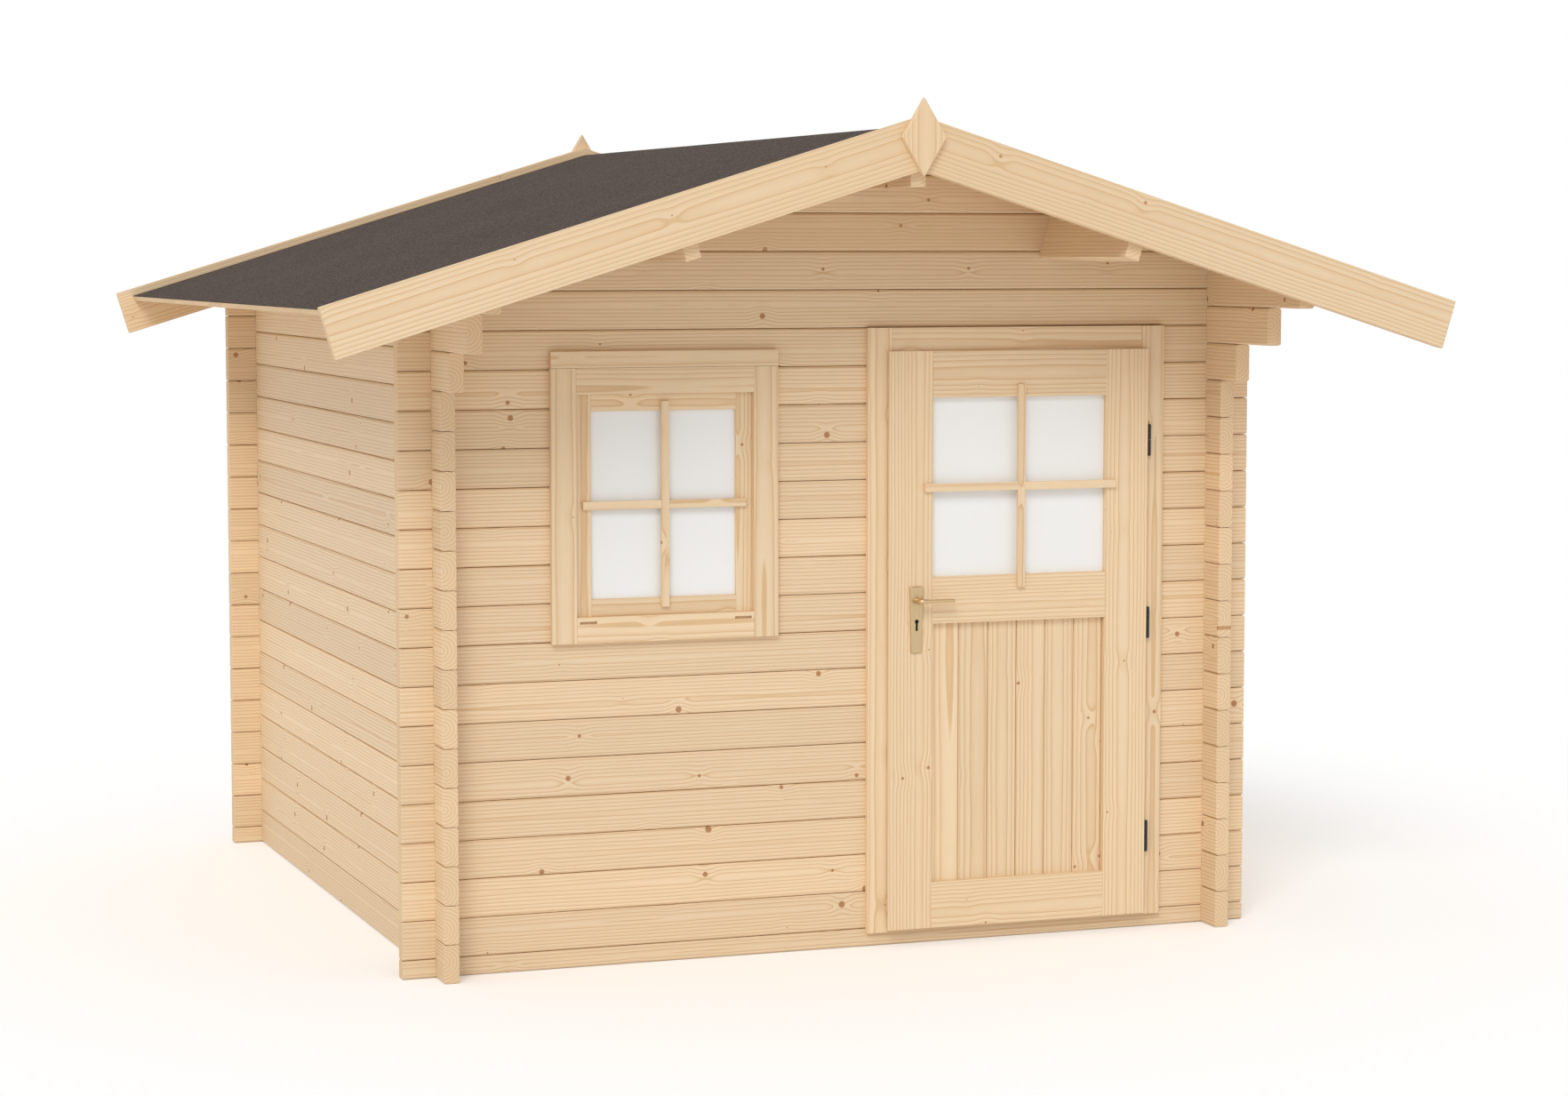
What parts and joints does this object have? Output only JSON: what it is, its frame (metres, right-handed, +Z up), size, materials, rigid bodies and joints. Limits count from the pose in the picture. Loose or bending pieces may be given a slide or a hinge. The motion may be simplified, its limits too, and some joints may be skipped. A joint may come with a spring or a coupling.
{
  "type": "garden house",
  "caption": "Small garden house of interlocking planed logs with a gable roof, a half-glazed door that opens outward and a cross-barred window.",
  "frame": {"origin": "on the ground, under the middle of the roof's outline", "axes": "+X to the right seen from the front with the door, +Y from the front to the rear, +Z up"},
  "size_m": [3.4156, 3.311, 2.5136],
  "materials": {
    "log_wood": "planed spruce, untreated",
    "roof_timber": "planed spruce, untreated",
    "trim_wood": "planed spruce, untreated",
    "floor_wood": "planed spruce, untreated",
    "roofing_felt": "brown mineral-surfaced felt, matte",
    "glass": "clear float glass",
    "hinge_metal": "satin black",
    "handle_metal": "champagne anodised, satin"
  },
  "bodies": {
    "house": {"front_base_log": "log_wood", "front_wall_left_odd": "log_wood", "front_wall_left_even": "log_wood", "front_wall_right_odd": "log_wood", "front_wall_right_even": "log_wood", "front_header_log": "log_wood", "front_gable_odd": "log_wood", "front_gable_even": "log_wood", "rear_wall_even": "log_wood", "rear_wall_odd": "log_wood", "left_wall_even": "log_wood", "left_wall_odd": "log_wood", "right_wall_even": "log_wood", "right_wall_odd": "log_wood", "ridge_purlin": "roof_timber", "mid_purlins": "roof_timber", "roof_boards_left": "roof_timber", "roof_boards_right": "roof_timber", "barge_boards_left": "trim_wood", "barge_boards_right": "trim_wood", "finials": "trim_wood", "door_frame_posts": "trim_wood", "door_frame_head": "trim_wood", "door_sill": "trim_wood", "window_frame_posts": "trim_wood", "window_frame_rails": "trim_wood", "window_drip_board": "trim_wood", "window_sash_stiles": "trim_wood", "window_sash_rails": "trim_wood", "window_glazing_bars": "trim_wood", "floor_bearers": "floor_wood", "floor_boards": "floor_wood", "roof_felt_left": "roofing_felt", "roof_felt_right": "roofing_felt", "window_glass": "glass", "hinge_frame_barrels": "hinge_metal"},
    "door": {"door_stiles": "trim_wood", "door_rails": "trim_wood", "door_glass": "glass", "door_panel": "trim_wood", "door_glazing_bars": "trim_wood", "hinge_leaf_barrels": "hinge_metal", "lock_plates": "handle_metal"},
    "lever": {"door_lever": "handle_metal"}
  },
  "joints": [
    {"name": "door_swing", "type": "hinge", "parent": "house", "child": "door", "pos_m": [0.9965, -1.0405, 0.904], "axis": [0, 0, 1], "range_deg": [0, 130]},
    {"name": "lever_turn", "type": "hinge", "parent": "door", "child": "lever", "pos_m": [0.2255, -1.0555, 1.047], "axis": [0, 1, 0], "range_deg": [0, 40], "stiffness_Nm_per_rad": 1, "springref_deg": -17.19}
  ]
}
